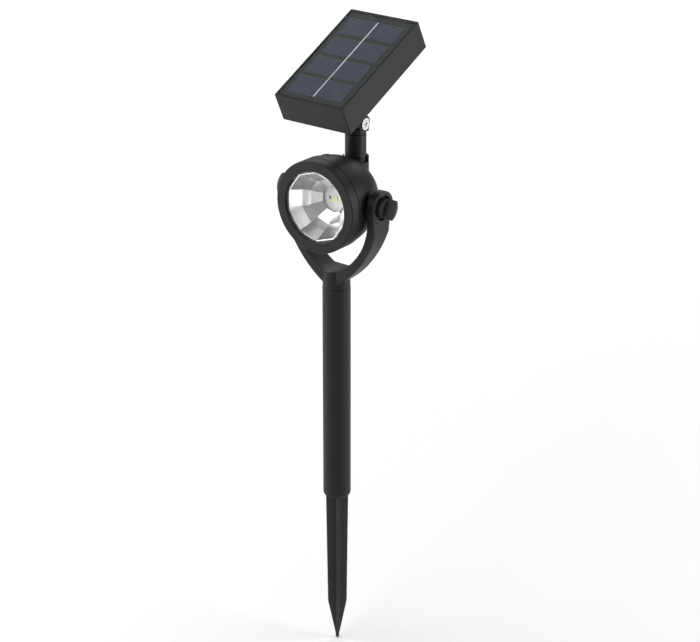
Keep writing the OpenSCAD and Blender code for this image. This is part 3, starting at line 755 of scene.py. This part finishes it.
def make_led():
    low, high = box_mm("led_board")
    board = placed(tube(0.01, high.x, low.y, high.y, 0.15, 96), TO_LAMP)
    piece("lamp_board", board, WHITE_BOARD, "led_board")
    chip_low, chip_high = box_mm("led_chip")
    chip = block(chip_low, chip_high, 0.15)
    piece("lamp_chip", chip, PHOSPHOR, "led_chip")
    part_low, part_high = box_mm("led_resistor")
    cap_h = 0.5
    inset = Vector((0, 0, cap_h - 0.05))
    body = block(part_low + inset, part_high - inset, 0.08)
    bottom_cap = (part_low, Vector((*part_high.xy, part_low.z + cap_h)))
    top_cap = (Vector((*part_low.xy, part_high.z - cap_h)), part_high)
    for corners in (bottom_cap, top_cap):
        body = merged(body, block(*corners, 0.1))
    return piece("lamp_resistor", body, CHIP, "led_resistor")


def make_boss_washers():
    both = [placed(tube(STUD_R + 0.08, BOSS_R, BOSS_FACE, BOSS_FACE + 0.5, 0.12, 96), TO_PIVOT[s])
            for s in (1, -1)]
    return piece("friction_washers", merged(*both), RUBBER, "pivot_washers")


# ---- clamp knobs ---------------------------------------------------------------------------

def make_knob(side, name, node):
    hub_foot, hub_face = EAR_X - RECESS_T + 0.7, EAR_X + 3
    hub_r, grip_out, grip_half, grip_t, edge_r = 6.75, 8.0, 7.0, 2.8, 13.25
    turn = Matrix.Rotation(math.radians(-25), 4, "Z")
    hub = lathe(rounded([(0, hub_foot, 0), (hub_r, hub_foot, 0.3), (hub_r, hub_face, 0.7),
                         (0, hub_face, 0)], steps=6), 128)
    swing = math.degrees(math.asin(grip_half / edge_r))
    crown = arc(0, hub_face + grip_out - edge_r, edge_r, 90 - swing, 90 + swing, 16)
    outline = rounded([(-grip_half, hub_face - 0.5), (grip_half, hub_face - 0.5)]
                      + [(*crown[0], 0.9)] + crown[1:-1] + [(*crown[-1], 0.9)], steps=5)
    grip = prism(outline, -grip_t / 2, grip_t / 2, 0.45, 4)
    placed(grip, turn @ Matrix.Rotation(math.radians(90), 4, "X"))
    body = boolean(hub, "UNION", grip)
    bore = rod(STUD_R + 0.05, 30, EAR_X + 1.2)
    body = boolean(body, "DIFFERENCE", bore)
    place = TO_PIVOT[1] if side > 0 else Matrix.Diagonal((-1, 1, 1, 1)) @ TO_PIVOT[1]
    placed(body, place)
    bmesh.ops.recalc_face_normals(body, faces=body.faces)
    return piece(name, body, BLACK_KNOB_PAINTED_LIT, node)


# ---- riser and hinge -----------------------------------------------------------------------

def make_riser():
    """Tube with a wider bore at the top, where the hinge's plug sits."""
    low, high = box_mm("riser_tube")
    low_bore, top_bore, step_z = 5.4, 6.4, high.z - 13
    outline = rounded([(low_bore, low.z, 0.1), (RISER_R, low.z, 0.3), (RISER_R, high.z, 0.45),
                       (top_bore, high.z, 0.1), (top_bore, step_z, 0), (low_bore, step_z, 0)], steps=5)
    return piece("riser_pipe", placed(lathe(outline, 128), TO_RISER), BLACK, "riser_tube")


# ---- panel ---------------------------------------------------------------------------------

CASE_Y = 10.8
CASE_W = box_mm("panel_case")[1].x * 2
CASE_L = 95.6
CASE_LOW = 26.3
CASE_HIGH = CASE_LOW + 22
SHEET_Z = CASE_HIGH - 1.5


def rect_loop(width, length, radius, z):
    """A level loop of the case, about the case's middle."""
    return [(x, y + CASE_Y, z) for x, y in rounded_rect(width, length, radius)]


def make_case():
    """Open tray under the deck, tapered outer walls and a shallow frame round the module."""
    wall, draft, corner = 2.0, 0.1, 0.9
    w, l = CASE_W, CASE_L
    in_w, in_l = w - 2 * wall, l - 2 * wall
    frame_w, frame_l = w - 3.6, l - 5.2
    deck_low = SHEET_Z - 1.8
    quarter = ((0.5, 0), (0.22, 0.07), (0.07, 0.23), (0, 0.5))
    turn_low = [(inset, CASE_LOW + lift) for inset, lift in quarter]
    turn_high = [(inset, CASE_HIGH - fall) for inset, fall in quarter[::-1]]
    loops = [rect_loop(in_w, in_l, 1, deck_low), rect_loop(in_w, in_l, 1, CASE_LOW + 0.2),
             rect_loop(in_w + 0.4, in_l + 0.4, 1.2, CASE_LOW)]
    loops += [rect_loop(w - 2 * inset, l - 2 * inset, corner - inset / 2, z) for inset, z in turn_low]
    loops += [rect_loop(w - 2 * (inset + draft), l - 2 * (inset + draft), corner - inset / 2, z)
              for inset, z in turn_high]
    loops += [rect_loop(frame_w + 0.3, frame_l + 0.3, 1.1, CASE_HIGH),
              rect_loop(frame_w, frame_l, 1, CASE_HIGH - 0.15), rect_loop(frame_w, frame_l, 1, SHEET_Z)]
    return piece("panel_shell", placed(loft(loops), TO_PANEL), BLACK, "panel_case")


def slab(width, length, radius, low, high, edge):
    """A flat layer of the solar module."""
    outline = [(x, y + CASE_Y) for x, y in rounded_rect(width, length, radius)]
    return placed(prism(outline, low, high, edge, 2), TO_PANEL)


def make_module():
    w, l = CASE_W - 4.0, CASE_L - 5.6
    piece("module_sheet", slab(w, l, 0.8, SHEET_Z, SHEET_Z + 0.8, 0.08), BACKSHEET, "panel_backsheet")
    rows, cell_w, cell_l, pitch, middle_y = 4, 46.0, 17.5, 21.0, CASE_Y - 0.8
    cell_z = SHEET_Z + 0.8
    bar_z = cell_z + 0.25
    window_z = cell_z + 0.33
    cells = []
    for i in range(rows):
        y = middle_y + (i - (rows - 1) / 2) * pitch
        cell = block((-cell_w / 2, y - cell_l / 2, cell_z), (cell_w / 2, y + cell_l / 2, bar_z), 0.06, 2)
        cells.append(placed(cell, TO_PANEL))
    piece("module_cells", merged(*cells), CELL, "solar_cells")
    bar_l = (rows - 1) * pitch + cell_l
    bar = block((-0.5, middle_y - bar_l / 2, bar_z), (0.5, middle_y + bar_l / 2, window_z), 0.03)
    piece("module_busbar", placed(bar, TO_PANEL), RIBBON, "busbar")
    window = slab(w, l, 0.8, window_z, cell_z + 0.65, 0.1)
    return piece("module_window", window, WINDOW_CLEAR, "panel_window")


# ---- the rest keeps its CAD shape, with rounded corners ------------------------------------

def make_small_parts():
    """Screws, boards and hidden parts: rounded copies, or the CAD meshes with new materials."""
    smoothed = {
        "hinge_fork": ("hinge_clevis", BLACK_SMOOTH, 0.25), "hinge_screw": ("hinge_bolt", STEEL, 0.08),
        "hinge_nut": ("hinge_hex_nut", STEEL, 0.12), "back_cover": ("case_back", BLACK, 0.2),
        "cover_screws": ("case_screws", STEEL, 0.06), "riser_stop_screw": ("stop_screw", STEEL, 0.06),
        "led_board_screws": ("board_screws", STEEL, 0.05), "battery": ("battery_cell", BATTERY, 0.3),
        "battery_holder": ("battery_cradle", BLACK, 0.2),
        "control_board": ("charge_board", GREEN_BOARD, 0.05),
        "board_parts": ("board_components", CHIP, 0.12), "switch_body": ("switch_case", RUBBER, 0.15),
    }
    for node, (name, material, edge) in smoothed.items():
        piece(name, finer(node, edge), material, node)
    kept = {
        "bezel_seal": RUBBER, "lens_gasket": RUBBER, "lamp_wires": WIRE, "riser_wires": WIRE,
        "panel_wires": WIRE, "pivot_inserts": BRASS, "battery_contacts": STEEL, "right_stud": STEEL,
        "left_stud": STEEL, "right_knob_washer": STEEL, "left_knob_washer": STEEL,
    }
    for node, material in kept.items():
        obj = frame["nodes"][node]
        obj.data.materials.clear()
        obj.data.materials.append(material)


# ---- studio --------------------------------------------------------------------------------

def make_camera():
    """Long lens, level, from the lamp's front right and a little above."""
    azimuth, elevation = math.radians(37.31), math.radians(22.54)
    distance, aim_height, aim_right = 1591.8 * MM, 135.8 * MM, 9.43 * MM
    back = Vector((math.sin(azimuth) * math.cos(elevation), -math.cos(azimuth) * math.cos(elevation),
                   math.sin(elevation)))
    right = Vector((math.cos(azimuth), math.sin(azimuth), 0))
    data = bpy.data.cameras.new("camera")
    data.sensor_width = 36
    data.lens = 115.97
    camera = bpy.data.objects.new("camera", data)
    bpy.context.scene.collection.objects.link(camera)
    camera.location = Vector((0, 0, aim_height)) + right * aim_right + back * distance
    camera.rotation_mode = "QUATERNION"
    camera.rotation_quaternion = (-back).to_track_quat("-Z", "Y")
    bpy.context.scene.camera = camera


def area_light(name, place, target, width, height, power):
    data = bpy.data.lights.new(name, "AREA")
    data.shape = "RECTANGLE"
    data.size = width
    data.size_y = height
    data.energy = power
    light = bpy.data.objects.new(name, data)
    bpy.context.scene.collection.objects.link(light)
    light.location = place
    light.rotation_mode = "QUATERNION"
    light.rotation_quaternion = (Vector(target) - Vector(place)).to_track_quat("-Z", "Y")


def make_floor():
    bm = bmesh.new()
    bmesh.ops.create_grid(bm, x_segments=1, y_segments=1, size=12)
    floor = as_object("floor", bm)
    floor.location = (0, 0, SPIKE_LOW.z * MM - 0.0005)
    m = Nodes("pale_floor")
    m.set(Base_Color=(0.93, 0.93, 0.93, 1), Roughness=0.9)
    floor.data.materials.append(m.material)


def make_studio():
    world = bpy.data.worlds.new("studio")
    bpy.context.scene.world = world
    world.use_nodes = True
    world.node_tree.nodes["Background"].inputs["Color"].default_value = (1, 1, 1, 1)
    world.node_tree.nodes["Background"].inputs["Strength"].default_value = 0.22
    area_light("left_box", (-1.15, -0.9, 0.55), (0, 0, 0.05), 0.9, 1.1, 17)
    area_light("right_box", (1.35, 0.75, 0.4), (0, 0, -0.05), 0.9, 1.1, 18)
    area_light("front_box", (-0.3, -1.5, 1.35), (0, 0, 0.2), 1.2, 1.0, 12)
    area_light("rear_wash", (-1.1, 1.7, 1.4), (-1.0, 1.55, -0.12), 3.2, 2.0, 38)
    bpy.context.scene.view_settings.view_transform = "Standard"


make_camera()
make_studio()
make_floor()
make_spike()
make_pole()
make_yoke()
make_bezel()
make_housing()
make_button()
make_lens()
make_reflector()
make_led()
make_boss_washers()
make_knob(1, "right_wing_knob", "right_knob")
make_knob(-1, "left_wing_knob", "left_knob")
make_riser()
make_case()
make_module()
make_small_parts()
